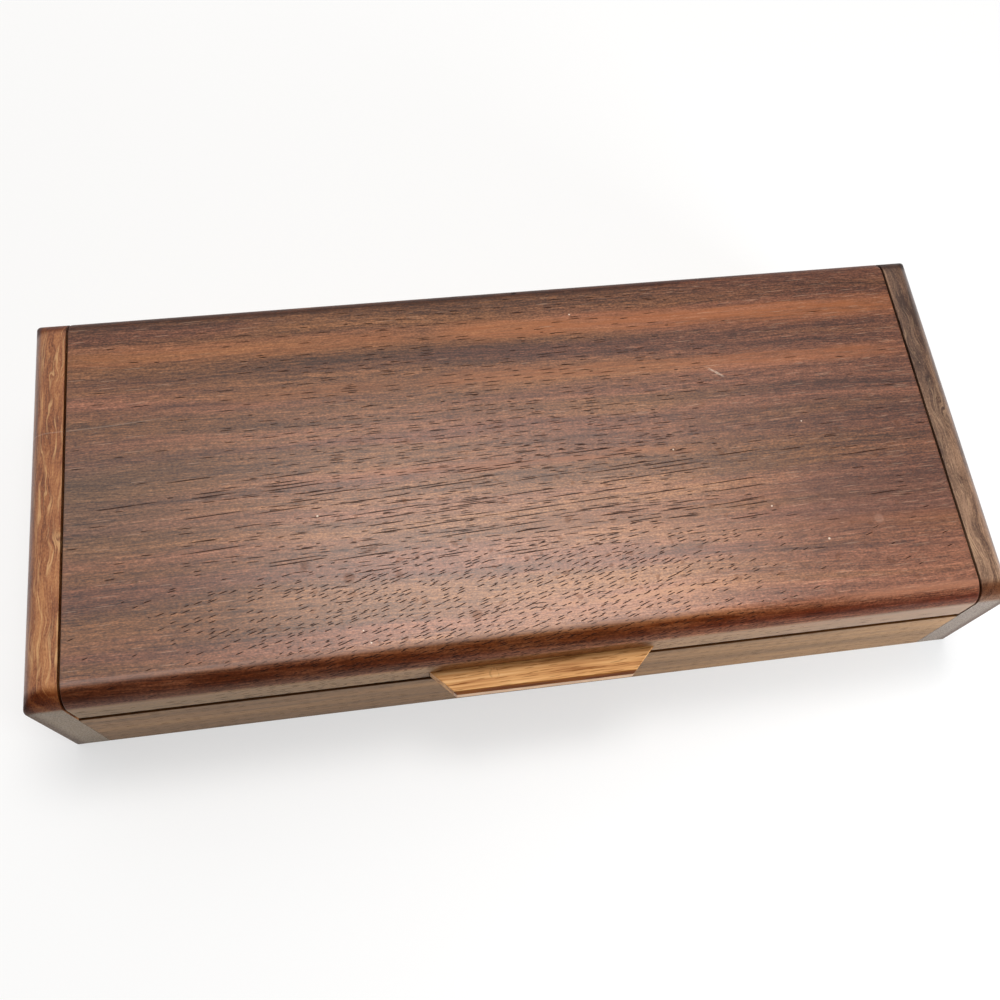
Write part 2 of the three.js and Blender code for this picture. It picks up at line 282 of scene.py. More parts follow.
# %% Lamp and room light
def make_room():
    """The world's light by direction, bright above and behind, and plain white where the camera sees it."""
    world = bpy.data.worlds.new("room")
    bpy.context.scene.world = world
    world.use_nodes = True
    bench = Bench(world.node_tree)
    direction = bench.node("ShaderNodeTexCoord", output="Generated")
    right, behind, rise = bench.parts(direction)
    strength = bench.soft_step(behind, -0.35, 0.10, 0.06, 1.05) * bench.soft_step(right, 0.20, 0.60, 1.0, 0.30)
    strength = strength * bench.soft_step(rise, 0.0, 0.4, 0.5, 1.0)
    light = bench.node("ShaderNodeBackground", {}, {"Color": (1.0, 0.97, 0.93, 1), "Strength": strength})
    white = bench.node("ShaderNodeBackground", {}, {"Color": (1, 1, 1, 1), "Strength": 1.0})
    seen = bench.node("ShaderNodeLightPath")["Is Camera Ray"]
    both = bench.node("ShaderNodeMixShader", {}, {0: seen, 1: light, 2: white})
    bench.node("ShaderNodeOutputWorld", {}, {"Surface": both})


# Where the lamps aim, and the direction and distance of those overhead
LIT_PLACE = Vector((0.0, -0.045, 0.053))
OVERHEAD = (0.091, 0.313, 1.0), 1.243
WARM, COOL = (1.0, 0.965, 0.92), (0.94, 0.98, 1.0)


def make_lamp(name, towards, distance, size, energy, colour, roll=0.0):
    """A soft rectangular lamp that faces the lid's front half from the given direction."""
    lamp = bpy.data.objects.new(name, bpy.data.lights.new(name, "AREA"))
    lamp.data.shape = "RECTANGLE"
    lamp.data.size, lamp.data.size_y = size
    lamp.data.energy = energy
    lamp.data.color = colour
    lamp.visible_camera = False
    direction = Vector(towards).normalized()
    lamp.location = LIT_PLACE + distance * direction
    turn = direction.to_track_quat("Z", "Y") @ Quaternion((0, 0, 1), np.radians(roll))
    lamp.rotation_euler = turn.to_euler()
    bpy.context.scene.collection.objects.link(lamp)
    return lamp


make_room()
make_lamp("lamp_above", *OVERHEAD, (0.67, 0.27), 4.2, WARM, roll=3)
fill_lamp = make_lamp("lamp_fill", *OVERHEAD, (0.50, 0.50), 3.7, WARM)
low_lamp = make_lamp("lamp_low_right", (0.40, -0.26, 0.06), 0.48, (0.24, 0.12), 2.2, COOL)
fill_lamp.visible_glossy = low_lamp.visible_glossy = False

# %% [markdown]
# ## Sizes read from the packed model
# Every new piece stands where its packed node is. So the few lengths that the surfaces need are read from
# the nodes' boxes, and only the softened edges are given here.

# %% Sizes
def span(node):
    low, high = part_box(node)
    return np.array(low), np.array(high)


LID_LOW, LID_HIGH = span("lid")
BLOCK_LOW, BLOCK_HIGH = span("end_block_right")
PULL_LOW, PULL_HIGH = span("finger_pull")
FRONT, BACK = BLOCK_LOW[1], BLOCK_HIGH[1]
OUTER, INNER = BLOCK_HIGH[0], BLOCK_LOW[0]
HEIGHT = BLOCK_HIGH[2]
ROUND_OVER = 7.2 * MM
EASE = 0.5 * MM
LIP = 0.2 * MM
LEAD = 0.4 * MM
HINGE = np.array(frame["joints"][0]["pos_m"])
print("front, back, outer, inner and height in mm:",
      np.round(np.array([FRONT, BACK, OUTER, INNER, HEIGHT]) / MM, 2))

# %% [markdown]
# ## Carrying an outline along a board
# A real board is planed flat and its edges are then softened with a plane or a router. The same happens
# here: a closed outline is carried along the board, and near the ends it shrinks along a quarter circle,
# which eases the end edges too. A modelling tool could bevel a box instead, but then the lid's lower back
# edge, which is turned about the hinge pins, would have no exact shape.

# %% Outlines
def arc(centre, radius, start, end, steps=10):
    """Points on an arc: the centre plus radius times the cosine and sine of evenly spread angles."""
    angle = np.radians(np.linspace(start, end, steps + 1))
    return np.stack([centre[0] + radius * np.cos(angle), centre[1] + radius * np.sin(angle)], 1)


def rounded(low, high, radii, steps=8):
    """A rectangle with a quarter circle in each corner, counter-clockwise from the lower left one.
    Each circle's centre stands in from its corner by the radius on both sides."""
    lower_left, lower_right, upper_right, upper_left = radii
    return np.concatenate([
        arc((low[0] + lower_left, low[1] + lower_left), lower_left, 180, 270, steps),
        arc((high[0] - lower_right, low[1] + lower_right), lower_right, 270, 360, steps),
        arc((high[0] - upper_right, high[1] - upper_right), upper_right, 0, 90, steps),
        arc((low[0] + upper_left, high[1] - upper_left), upper_left, 90, 180, steps),
    ])


def with_leads(outline):
    """Adds a point a little after the start and before the end of each long side, at start + lead and
    end - lead along it, so that smooth shading of the corner stops there and the flat stays flat."""
    ahead = np.roll(outline, -1, axis=0) - outline
    length = np.linalg.norm(ahead, axis=1, keepdims=True)
    lead = np.where(length > 4 * LEAD, LEAD, 0) * ahead / np.maximum(length, 1e-9)
    last = np.where(length > 4 * LEAD, outline + ahead - lead, outline)
    return np.stack([outline, outline + lead, last], 1).reshape(-1, 2)


print("points on a rounded rectangle:", len(rounded((0, 0), (1, 1), (0.1, 0.1, 0.1, 0.1))))

# %% [markdown]
# ## From outlines to a closed piece
# A row of outlines is like the ribs of a boat, and the faces between them are its planks. All indexes come
# from one numbered grid, so no face is listed by hand. The first and the last outline close the ends.

# %% Skin over a row of loops
def skin(name, loops, smooth_below=35):
    """A closed piece over loops of points, an array of loop, point and place. Point j of loop i is joined
    to point j + 1 and to the same points of loop i + 1, and the first and last loop are closed."""
    count, around = loops.shape[:2]
    index = np.arange(count * around).reshape(count, around)
    ahead = np.roll(index, -1, axis=1)
    sides = np.stack([index[:-1], ahead[:-1], ahead[1:], index[1:]], -1).reshape(-1, 4)
    mesh = bpy.data.meshes.new(name)
    mesh.from_pydata(loops.reshape(-1, 3), [], sides.tolist() + [index[0, ::-1].tolist(), index[-1].tolist()])
    work = bmesh.new()
    work.from_mesh(mesh)
    bmesh.ops.remove_doubles(work, verts=work.verts, dist=1e-6)
    bmesh.ops.dissolve_degenerate(work, edges=work.edges, dist=1e-7)
    bmesh.ops.recalc_face_normals(work, faces=work.faces)
    work.to_mesh(mesh)
    work.free()
    mesh.polygons.foreach_set("use_smooth", np.ones(len(mesh.polygons), bool))
    mesh.set_sharp_from_angle(angle=np.radians(smooth_below))
    piece = bpy.data.objects.new(name, mesh)
    bpy.context.scene.collection.objects.link(piece)
    return piece


def eased_stations(start, end, ease, steps=3):
    """Places along a board and how far the outline is drawn in there. Over the last ease of length the
    draw-in is ease * (1 - sin t) while the place moves ease * (1 - cos t), a quarter circle."""
    turn = np.radians(np.linspace(0, 90, steps + 1))
    place = np.concatenate([[0], ease * (1 - np.cos(turn)), [ease + LEAD]])
    inset = np.concatenate([[ease + LEAD], ease * (1 - np.sin(turn)), [0]])
    return (np.concatenate([start + place, end - place[::-1]]), np.concatenate([inset, inset[::-1]]))


def stick(name, low, high, axis, radii, ease=0.3 * MM):
    """A straight strip between two corners of a box, carried along axis 0 (X) or 1 (Y). The outline is a
    rounded rectangle across the axis, with radii counter-clockwise from its lower left corner."""
    across = 1 - axis
    stations, insets = eased_stations(low[axis], high[axis], ease)
    outlines = np.stack([
        with_leads(rounded((low[across] + i, low[2] + i), (high[across] - i, high[2] - i),
                           np.maximum(np.array(radii) - i, 0.01 * MM), steps=4))
        for i in insets
    ])
    loops = np.empty((*outlines.shape[:2], 3))
    loops[..., axis] = stations[:, None]
    loops[..., across] = outlines[..., 0]
    loops[..., 2] = outlines[..., 1]
    return skin(name, loops)


def soften(piece, width, segments=2):
    """Takes the last sharp edges off with a narrow bevel that leaves the flats flat."""
    bevel = piece.modifiers.new("softened_edges", "BEVEL")
    bevel.width = width
    bevel.segments = segments
    bevel.limit_method = "ANGLE"
    bevel.angle_limit = np.radians(40)
    bevel.harden_normals = True


# %% Dress the pieces
def fit(piece, body, slot, material, *nodes):
    """Dresses a piece, fixes it to its body and lets it stand for its packed nodes."""
    piece.data.materials.clear()
    piece.data.materials.append(material)
    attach(piece, body)
    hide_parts(*nodes)
    print(piece.name, "has", len(piece.data.polygons), "faces")
    return piece


print("first places along an eased stick in mm:", np.round(eased_stations(0, 0.1, 0.3 * MM)[0][:5] / MM, 3))

# %% [markdown]
# ## Rosewood
# Rosewood is known by three things: broad bands from purple-black to orange, fine lines of growth inside
# them, and open pores that show as short dark dashes. All three run along the board. The bands and lines
# are noise that is stretched many times along the grain. The pores are dashes in cells: each cell of a
# Voronoi pattern holds one dash at its own place, with its own length. Where the grain is cut across, as
# on the front of an end block, the same pores show as dots.

# %% Pores and grain
PORE_BROWN = rgb(46, 22, 14)


def dashes(bench, along, across, cell, size, slant, share):
    """A mask of dashes. The board is cut into cells of about cell (length, width) mm. A dash lies round
    each cell's own point: its mask is 1 where the distance, measured in half lengths along it and half
    widths across it, is below one. A cell keeps its dash where its random number is below share."""
    here = bench.point(along / cell[0], across / cell[1])
    cells = bench.node("ShaderNodeTexVoronoi", {"voronoi_dimensions": "2D", "feature": "F1"},
                       {"Vector": here, "Scale": 1.0, "Randomness": 1.0})
    dx, dy, _ = bench.parts(bench.vector("SUBTRACT", here, cells["Position"]))
    dx, dy = dx * cell[0], dy * cell[1]
    chance, length, _ = bench.parts(cells["Color"])
    run = (dx + dy * slant) / (length * (0.9 * size[0] / 2) + 0.35 * size[0] / 2)
    off = (dy - dx * slant) / (size[1] / 2)
    reach = bench.vector("LENGTH", bench.point(run, off))["Value"]
    kept = bench.math("LESS_THAN", chance, share)
    return bench.soft_step(reach, 0.65, 1.12, 1.0, 0.0) * kept


def grain_layers(bench, along, across, deep, seed):
    """Three sizes of band as noise stretched along the grain: broad, medium and fine."""
    def stretched(length, width, detail, shift):
        place = bench.point(along / length, across / width, deep / width + (seed + shift))
        return bench.noise(place, detail)

    return stretched(260, 15, 2.0, 0.0), stretched(120, 3.6, 3.0, 11.0), stretched(32, 0.62, 2.0, 23.0)


def layered(*layers):
    """The sum of noises, each less its average of one half and times its own weight."""
    first, *others = [(noise - 0.5) * weight for noise, weight in layers]
    return sum(others, first)


print("the pores' brown in linear numbers:", np.round(PORE_BROWN, 4))

# %% [markdown]
# ### The bands of the lid
# The lid's board has bands that anyone would know it by: two orange-red ones near the back, a thin purple
# line between them, darker heartwood at the right, and a dark streak that falls towards the right front
# corner. Each is one soft streak with a place, a width, a reach and a fall, written down one by one.

# %% Streaks
# Each row: place from the back, half width, start and end from the left, fall per 100 mm, and strength
DARK_STREAKS = [
    (6.5, 4.5, 0, 302, 0.3, 0.55),
    (26.0, 2.3, 60, 300, 1.0, 0.50),
    (26.5, 4.0, 0, 105, 0.0, 0.60),
    (30.0, 1.4, 120, 300, 1.2, 0.45),
    (49.0, 5.0, 195, 302, 1.0, 0.35),
    (59.0, 1.6, 62, 200, 2.0, 0.50),
    (62.5, 1.2, 5, 130, 1.0, 0.55),
    (61.0, 4.0, 0, 90, 0.0, 0.50),
    (61.0, 7.0, 195, 302, 3.0, 0.35),
    (72.3, 1.0, 138, 180, 2.5, 0.80),
    (78.0, 3.2, 200, 302, 3.0, 0.50),
    (85.5, 1.1, 5, 75, 0.0, 0.45),
    (106.0, 2.0, 180, 295, 9.0, 0.80),
    (123.0, 1.4, 105, 190, 0.0, 0.50),
]
RED_STREAKS = [
    (18.5, 4.6, 125, 302, 0.8, 1.00),
    (17.5, 4.2, 0, 130, 0.0, 0.55),
    (36.5, 3.7, 120, 292, 1.2, 0.75),
    (36.0, 3.0, 55, 125, 0.0, 0.40),
    (67.5, 1.8, 90, 215, 1.5, 0.65),
    (91.0, 5.5, 142, 212, 1.5, 0.30),
    (90.0, 7.0, 205, 302, 3.0, 0.20),
    (99.0, 3.5, 225, 302, 5.0, 0.45),
]
FADE_WITHIN, FADE_BEYOND = 22, 8


def streaks(bench, from_left, from_back, rows):
    """The strongest of a list of streaks at each place. A streak is its strength times a soft step of the
    distance from its middle line, times a soft step at its two ends."""
    bands = []
    for place, half_width, start, end, fall, strength in rows:
        middle, half = (start + end) / 2, (end - start) / 2
        line = bench.math("MULTIPLY_ADD", from_left, -fall / 100, middle * fall / 100 - place) + from_back
        band = bench.soft_step(abs(line), 0.15 * half_width, 1.25 * half_width, strength, 0.0)
        bands.append(band * bench.soft_step(
            abs(from_left - middle), half - FADE_WITHIN, half + FADE_BEYOND, 1.0, 0.0))
    return bench.larger(*bands)


print(len(DARK_STREAKS) + len(RED_STREAKS), "streaks on the lid")

# %% [markdown]
# ### Painted shade on the round-overs, and polish
# The wood is oiled and rubbed. A rag polishes the flat top, so a clear coat lies over it there and fades at
# the edges. The round-overs get painted shade: their colour is darkened to a deep red. Both follow from one
# number, which says how far a place lies inside a round-over.

# %% Painted round-over shade and polish
OILED = {"IOR": 1.5, "Specular IOR Level": 0.18, "Coat Roughness": 0.28, "Coat IOR": 1.5}
ROUND_OVER_MM = ROUND_OVER / MM
ROUND_START = (HEIGHT - ROUND_OVER) / MM
MIDDLE, HALF_DEPTH = (BACK + FRONT) / 2 / MM, (BACK - FRONT) / 2 / MM


def edge_lean(place, half_span, middle=0.0):
    """How far a place lies inside a round-over, 0 where it starts and 1 at the upright face: its distance
    from the middle of the span, less the flat half of it, over the radius. All in millimetres."""
    return (abs(place - middle) - (half_span - ROUND_OVER_MM)) / ROUND_OVER_MM


def depth_lean(y):
    """The same for the round-overs along the front and the back edge."""
    return edge_lean(y, HALF_DEPTH, MIDDLE)


def behind_face(y):
    """How deep a place lies behind the nearer of the front and the back face, in millimetres."""
    return HALF_DEPTH - abs(y - MIDDLE)


def top_side(bench, z):
    """1 from where the round-overs start upwards, and 0 below them."""
    return bench.soft_step(z, ROUND_START - 1, ROUND_START)


def round_over_painted_shade(bench, wood, x, y, z, tint, start=0.10):
    """Paints shade on the rounded top edges at the front and the back by darkening their colour with the tint.
    The share rises softly with the lean from start and ends where the upright face starts. Fine streaks along X
    vary it along the grain."""
    lean = depth_lean(y)
    streak = bench.noise(bench.point(x / 26, (y - z) / 0.8, 50.0), 3.0, 0.6) * 0.9 + 0.50
    share = bench.soft_step(lean - start, 0.0, 0.38) * bench.soft_step(lean, 0.78, 0.87, 1.0, 0.72)
    share = share * bench.soft_step(lean, 0.93, 1.0, 1.0, 0.0) * top_side(bench, z)
    return bench.stain(share * streak, wood, tint)


def polish(bench, x, y, weight, pores):
    """The weight of the coat: full on the flat top, where a rag reaches it, and almost none in the
    round-overs, on the upright faces and in the pores. Fine noise varies it by an eighth."""
    rubbed = bench.noise(bench.point(x / 1.4, y / 0.6), 2.0) * 0.5 + 0.75
    return bench.soft_step(depth_lean(y), 0.16, 0.42, 1.0, 0.02) * weight * (1.0 - pores * 0.9) * rubbed


print("the round-overs start at a height of", round(ROUND_START, 2), "mm")

# %% [markdown]
# ### Marks of use
# A box in daily use gets marks: pale specks where the surface is chipped, a short scuff, and one long
# scratch. They could be painted on a picture, but then the box would need the picture. So each mark is
# worked out from the distance to a point or to a line.

# %% Marks of use
BARE_WOOD = rgb(222, 200, 180)
SCRATCH_START, SCRATCH_BEND = 42.2, 0.0011
SCUFF_LEFT, SCUFF_BACK = 222.0, 41.0
# Each speck: place from the left, place from the back, and radius
SPECKS = [(176, 14, 0.35), (87, 79, 0.4), (202, 68, 0.35), (230, 91, 0.35), (246, 104, 0.45),
          (247, 62, 0.3), (98, 117, 0.3), (100, 121, 0.35)]


def scratch(bench, from_left, from_back):
    """One long faint scratch over the left end block and the lid. Its line falls with the square of the
    distance from the left, and its mask is a soft step of the distance to that line."""
    line = abs(from_back + from_left * from_left * SCRATCH_BEND - SCRATCH_START)
    return bench.soft_step(line, 0.05, 0.28, 0.16, 0.0) * bench.soft_step(from_left, 34, 46, 1.0, 0.0)


def marks_of_use(bench, from_left, from_back):
    """The specks, the scuff and the scratch as one mask. A speck is a soft step of the distance to its
    place, and the scuff one of the distances along and across its slant, which is 3 down in 4 along."""
    here = bench.point(from_left, from_back)
    specks = [bench.soft_step(bench.distance(here, left, back), size * 0.6, size, 1.0, 0.0)
              for left, back, size in SPECKS]
    right, down = from_left - SCUFF_LEFT, from_back - SCUFF_BACK
    along, off = right * 0.80 + down * 0.60, right * 0.60 - down * 0.80
    hairs = bench.noise(bench.point(along / 2.2, off / 0.22), 2.0)
    scuff = bench.soft_step(abs(along), 1.4, 3.8, 0.75, 0.0) * bench.soft_step(abs(off), 0.2, 0.6, 1.0, 0.0)
    scuff = scuff * bench.soft_step(hairs, 0.40, 0.58)
    return bench.larger(*specks, scuff, scratch(bench, from_left, from_back))


print(len(SPECKS), "specks, a scuff and a scratch")

# %% [markdown]
# ### The lid's wood in layers
# One function could write the whole lid, but nobody could read it. So the wood is laid on in layers, as a
# grainer would paint it: the bands with their painted sheen first, then the pores, the pale fibres and painted
# glints, the stains, and last the faces and edges: planing, painted shade, painted highlights and marks of use.
# All layers share the same few noises, so they follow one grain.

# %% Grain and bands of the lid
LID_TONES = [rgb(50, 29, 21), rgb(86, 53, 38), rgb(117, 76, 52), rgb(146, 97, 68), rgb(184, 128, 92)]


def lid_grain(bench):
    """The places and noises that the layers share. across is the place across the grain after the bands
    have swayed by 7 mm. Pores are open in the middle of the length and closed towards both ends."""
    x, y, z = place_in_mm(bench)
    sway = bench.noise(bench.point(x / 75, y / 26, z / 26), 2.0) - 0.5
    across = y + sway * 7 + x * 0.012
    broad, medium, fine = grain_layers(bench, x, across, z, 3.0)
    from_left, from_back = x + OUTER / MM, BACK / MM - y
    return SimpleNamespace(
        x=x, y=y, z=z, from_left=from_left, from_back=from_back, across=across, run_across=y + z,
        sway=sway, broad=broad, medium=medium, fine=fine, top=top_side(bench, z),
        ragged=bench.noise(bench.point(x / 16, y / 1.6, z / 1.6), 3.0) - 0.5,
        fibre=bench.noise(bench.point(x / 5.5, across / 0.50, z / 0.50), 2.0, 0.6),
        strands=bench.noise(bench.point(x / 24, across / 0.95, z / 0.95 + 60), 3.0, 0.6),
        heart=bench.soft_step(from_left, 190, 275),
        # middle marks where painted sheen lightens the lid, and where the hand stains lie.
        middle=bench.soft_step(from_back, 26, 66) * bench.soft_step(from_left, 15, 115),
        open_grain=(bench.soft_step(from_left, 25, 105, 0.08, 1.0)
                    * bench.soft_step(from_left, 180, 245, 1.0, 0.05)))


def lid_bands(bench, g):
    """The colour of the bare bands. The lightness is the weighted noises, more in the middle and at the
    front, which is painted sheen, less in the heart and the dark streaks, and it is looked up in five tones of
    rosewood. A patch at the left middle is made darker and bluer: painted shade under a greyish painted sheen."""
    line_place = g.from_back + g.sway * 3.0 + g.ragged * 6.0
    dark = streaks(bench, g.from_left, line_place, DARK_STREAKS)
    dark = dark * bench.soft_step(g.strands, 0.36, 0.60, 0.45, 1.0)
    red = streaks(bench, g.from_left, line_place, RED_STREAKS)
    red = red * bench.soft_step(g.strands, 0.38, 0.62, 1.0, 0.40)
    # front, middle and the patch lighten the wood where the lid's sheen lies: painted sheen.
    front = bench.soft_step(g.from_back, 96, 117) * bench.soft_step(g.from_left, 60, 165)
    painted_sheen_patch = bench.soft_step(abs(g.from_left - 172), 12, 54, 0.10, 0.0)
    speckle = bench.noise(bench.point(g.x / 0.9, g.y / 0.45, g.z / 0.45), 2.0, 0.6)
    lightness = layered((g.broad, 0.50), (g.medium, 0.48), (g.fine, 0.52), (g.fibre, 0.72), (speckle, 0.85))
    lightness = lightness + g.middle * (0.125 - g.heart * 0.10)
    lightness = lightness + painted_sheen_patch * front * bench.soft_step(g.from_back, 119, 123, 1.0, 0.0)
    lightness = lightness + front * (0.15 - g.heart * 0.06) - g.heart * 0.03 - dark * 0.17 + red * 0.08 + 0.475
    wood = bench.ramp(lightness, (0.10, 0.34, 0.52, 0.70, 0.92), LID_TONES)
    hue = bench.noise(bench.point(g.x / 150, g.across / 9, g.z / 9 + 80), 2.0) + g.heart * 0.16
    hue = bench.colour(bench.soft_step(hue, 0.38, 0.66), (1.04, 1.04, 0.90), (1.0, 0.91, 1.04))
    wood = bench.stain(1.0, wood, hue)
    wood = bench.colour(red * 0.75, wood, bench.colour(g.strands, rgb(120, 58, 28), rgb(202, 126, 70)))
    wood = bench.colour(dark * 0.42, wood, rgb(66, 42, 38))
    # A patch at the left middle is made darker and bluer: painted shade under a greyish painted sheen.
    left_painted_sheen = bench.soft_step(g.from_left, 12, 80, 1.0, 0.0) * bench.soft_step(g.from_back, 48, 60)
    left_painted_sheen = left_painted_sheen * bench.soft_step(g.from_back, 76, 92, 1.0, 0.0)
    wood = bench.stain(left_painted_sheen, wood, (0.76, 0.87, 1.0))
    right_end = bench.soft_step(g.from_left, 222, 250) * bench.soft_step(g.from_back, 78, 88)
    right_end = right_end * bench.soft_step(g.from_back, 96, 106, 1.0, 0.0)
    return bench.stain(right_end, wood, (0.74, 0.76, 0.88))


print("the lid's tones, from", np.round(LID_TONES[0], 3), "to", np.round(LID_TONES[-1], 3))

# %% Pores, fibres and stains of the lid
# Each pair: the cell's and the dash's (length, width) in millimetres
LONG_PORES = (24.0, 1.40), (24.0, 0.38)
PLAIN_PORES = (6.5, 1.0), (6.0, 0.30)
SHORT_PORES = (3.6, 1.10), (3.8, 0.39)
PALE_FIBRES_AND_GLINTS = (9.0, 1.3), (7.0, 0.20)
STAINS = [(82, 95), (95, 100), (110, 101), (132, 116)]
PALE_SPOT = (264, 99)


def lid_pores(bench, g):
    """A mask of pores: long thin lines in the middle of the lid, short slanting ones towards its front,
    and plain ones elsewhere and low on the faces. nearness is 1 in the part at the front."""
    nearness = bench.soft_step(g.from_back, 88, 104)
    crowd = bench.noise(bench.point(g.x / 30, g.run_across / 4, 5.0), 1.0)
    crowd = bench.soft_step(crowd, 0.36, 0.60, 0.35, 1.0)
    long_share = bench.soft_step(g.from_back, 56, 72) * (1.0 - nearness) * crowd * g.open_grain * 0.80
    plain_share = bench.soft_step(g.from_back, 20, 62, 0.14, 0.44) * (1.05 - nearness) * g.open_grain
    plain_share = plain_share + bench.soft_step(g.z, 38, 45, 0.40, 0.0)
    short_share = (nearness * 0.64 + 0.03) * g.open_grain
    return bench.larger(
        dashes(bench, g.x + 3.1, g.run_across, *LONG_PORES, 0.055, long_share),
        dashes(bench, g.x, g.run_across, *PLAIN_PORES, 0.010, plain_share),
        dashes(bench, g.x + 7.3, g.run_across, *SHORT_PORES, nearness * 0.33, short_share))


def pale_fibres_and_glints(bench, g, wood):
    """Pale fibres in the darker wood at the right, the left and the very back, where pores are closed. They are
    partly pale wood and partly painted glints, where pores catch the light.
    """
    closed = bench.larger(0.75 - g.open_grain * 0.75, bench.soft_step(g.from_back, 8, 18, 0.8, 0.0),
                          bench.soft_step(g.from_left, 170, 235, 0.12, 1.0))
    hairs = bench.noise(bench.point(g.x / 7 + 30, (g.run_across - g.x * 0.02) / 0.40, 3.0), 3.0, 0.6)
    hairs = bench.soft_step(hairs, 0.58, 0.70)
    fibres = dashes(bench, g.x + 11.0, g.run_across, *PALE_FIBRES_AND_GLINTS, 0.02, closed * 0.16)
    return bench.colour(bench.larger(fibres * 0.42, hairs * closed * 0.30), wood, rgb(208, 168, 140))


def stains(bench, g, wood):
    """Small dark stains from hands and one pale spot, all on top. Gives the wood and the stains' mask."""
    blots = bench.soft_step(bench.noise(bench.point(g.x / 3.6, g.y / 3.6, g.z + 40), 1.0), 0.66, 0.72)
    blots = blots * g.middle * g.top
    here = bench.point(g.from_left, g.from_back)
    drops = [bench.soft_step(bench.distance(here, left, back) + g.ragged * 3, 1.0, 2.0, 1.0, 0.0) * g.top
             for left, back in STAINS]
    blots = bench.larger(blots, *drops)
    wood = bench.colour(blots * 0.32, wood, rgb(104, 70, 54))
    spot = bench.soft_step(bench.distance(here, *PALE_SPOT), 1.1, 1.9, 0.25, 0.0) * g.top
    return bench.colour(spot, wood, rgb(190, 146, 126)), blots


print("long pores of about", LONG_PORES[1], "mm and short ones of", SHORT_PORES[1], "mm")

# %% Faces and edges of the lid
def lid_faces(bench, g, wood, pores):
    """The upright faces are planed and show lighter wood, which grows lighter and greyer towards the right, a
    painted reflection. The front above the pull gets painted shade. Each is mixed in by a soft step of the
    depth behind the face."""
    upright = bench.soft_step(behind_face(g.y), 0.0, 0.3, 1.0, 0.0)
    # The upright colour grows lighter and greyer to the right: a painted reflection of the brighter light
    # there.
    planed_and_painted_reflection = bench.colour(bench.soft_step(g.from_left, 150, 290), rgb(141, 115, 78), rgb(166, 142, 118))
    wood = bench.colour(upright * 0.58 * (1.0 - pores * 0.7), wood, planed_and_painted_reflection)
    # Painted shade on the front face above the pull, where the pull keeps the light off.
    painted_shade_above_pull = upright * bench.soft_step(abs(g.x), 31, 36, 1.0, 0.0) * bench.soft_step(g.y, 0, 1, 1.0, 0.0)
    wood = bench.stain(painted_shade_above_pull, wood, (0.54, 0.34, 0.20))
    # From 110 mm on, the upright faces are toned down again, which tunes the same painted light.
    return bench.stain(upright * bench.soft_step(g.from_left, 110, 200), wood, (0.84, 0.85, 0.86))


def lid_edges(bench, g, wood):
    """The start of the front round-over gets a pale painted highlight, narrow at the left and broad at the
    right.
    Past it the round-over is darkened with painted shade. Marks of use come last, on top of everything."""
    lean = depth_lean(g.y)
    nearest = g.top * bench.soft_step(g.from_back, 100, 110)
    # A painted highlight along the start of the front round-over, narrow at the left and broad at the right.
    narrow_painted_highlight = bench.soft_step(abs(lean - 0.16), 0.05, 0.17, 0.36, 0.0)
    narrow_painted_highlight = narrow_painted_highlight * bench.soft_step(g.from_left, 185, 215, 1.0, 0.0) * nearest
    wood = bench.colour(narrow_painted_highlight, wood, rgb(160, 136, 128))
    broad = bench.soft_step(abs(lean - 0.26), 0.08, 0.26, 0.42, 0.0) * bench.soft_step(g.from_left, 232, 262)
    wood = bench.colour(broad * nearest, wood, rgb(192, 134, 106))
    # The round-over's tint is painted shade, darker at the left and redder at the right.
    round_over_shade_tint = bench.colour(bench.soft_step(g.from_left, 150, 285), (0.27, 0.15, 0.08), (0.40, 0.17, 0.07))
    start = bench.soft_step(g.from_left, 195, 275, 0.10, 0.42)
    wood = round_over_painted_shade(bench, wood, g.x, g.y, g.z, round_over_shade_tint, start)
    return bench.colour(marks_of_use(bench, g.from_left, g.from_back) * g.top, wood, BARE_WOOD)


def lid_ends(bench, g, wood):
    """The ends, which show when the lid is open, are cut across the pores, so these are dots there."""
    cut = bench.soft_step(abs(g.x), LID_HIGH[0] / MM - 0.30, LID_HIGH[0] / MM - 0.05)
    dots = bench.soft_step(bench.noise(bench.point(g.y / 0.42, g.z / 0.42), 1.0), 0.56, 0.66)
    return bench.colour(cut, wood, bench.colour(dots, rgb(96, 62, 44), rgb(44, 26, 20)))


def lid_rosewood():
    """All layers in order, and a finish that is rougher and lower in the pores."""
    material, bench = new_material("rosewood_lid")
    g = lid_grain(bench)
    pores = lid_pores(bench, g)
    wood = bench.colour(pores * 0.95, lid_bands(bench, g), PORE_BROWN)
    wood, blots = stains(bench, g, pale_fibres_and_glints(bench, g, wood))
    wood = lid_edges(bench, g, lid_faces(bench, g, wood, pores))
    wood = lid_ends(bench, g, wood)
    rough = 0.46 + (g.medium - 0.5) * 0.08 + pores * 0.25 + blots * 0.10
    height = g.fine * 0.20 + g.fibre * 0.18 - pores * 0.62 + 0.62
    coat = polish(bench, g.x, g.y, bench.soft_step(g.from_back, 4, 58, 0.30, 0.95), pores)
    coat = coat * (1.0 - blots * 0.4) * g.top
    finish_surface(bench, wood, rough, height, RELIEF, **OILED, **{"Coat Weight": coat})
    return material


rosewood_lid = lid_rosewood()
print(rosewood_lid.name, "has", len(rosewood_lid.node_tree.nodes), "nodes")

# %% [markdown]
# ### Rosewood for the straight sticks
# The rails, the dividers and the liner come from a plainer board. One function grows it along X or Y. Where
# the liner makes the step under the lid, painted shade darkens the wood, so that the seam reads as a shadow
# line.

# %% Rosewood for the rails, the dividers and the liner
RAIL_TOP = span("front_rail")[1][2] / MM
RAIL_DEPTH = (span("front_rail")[1][1] - FRONT) / MM
RAIL_PORES = (5.0, 0.9), (4.2, 0.24)
STICK_TONES = [rgb(76, 54, 33), rgb(114, 83, 53), rgb(144, 107, 70), rgb(174, 133, 90)]


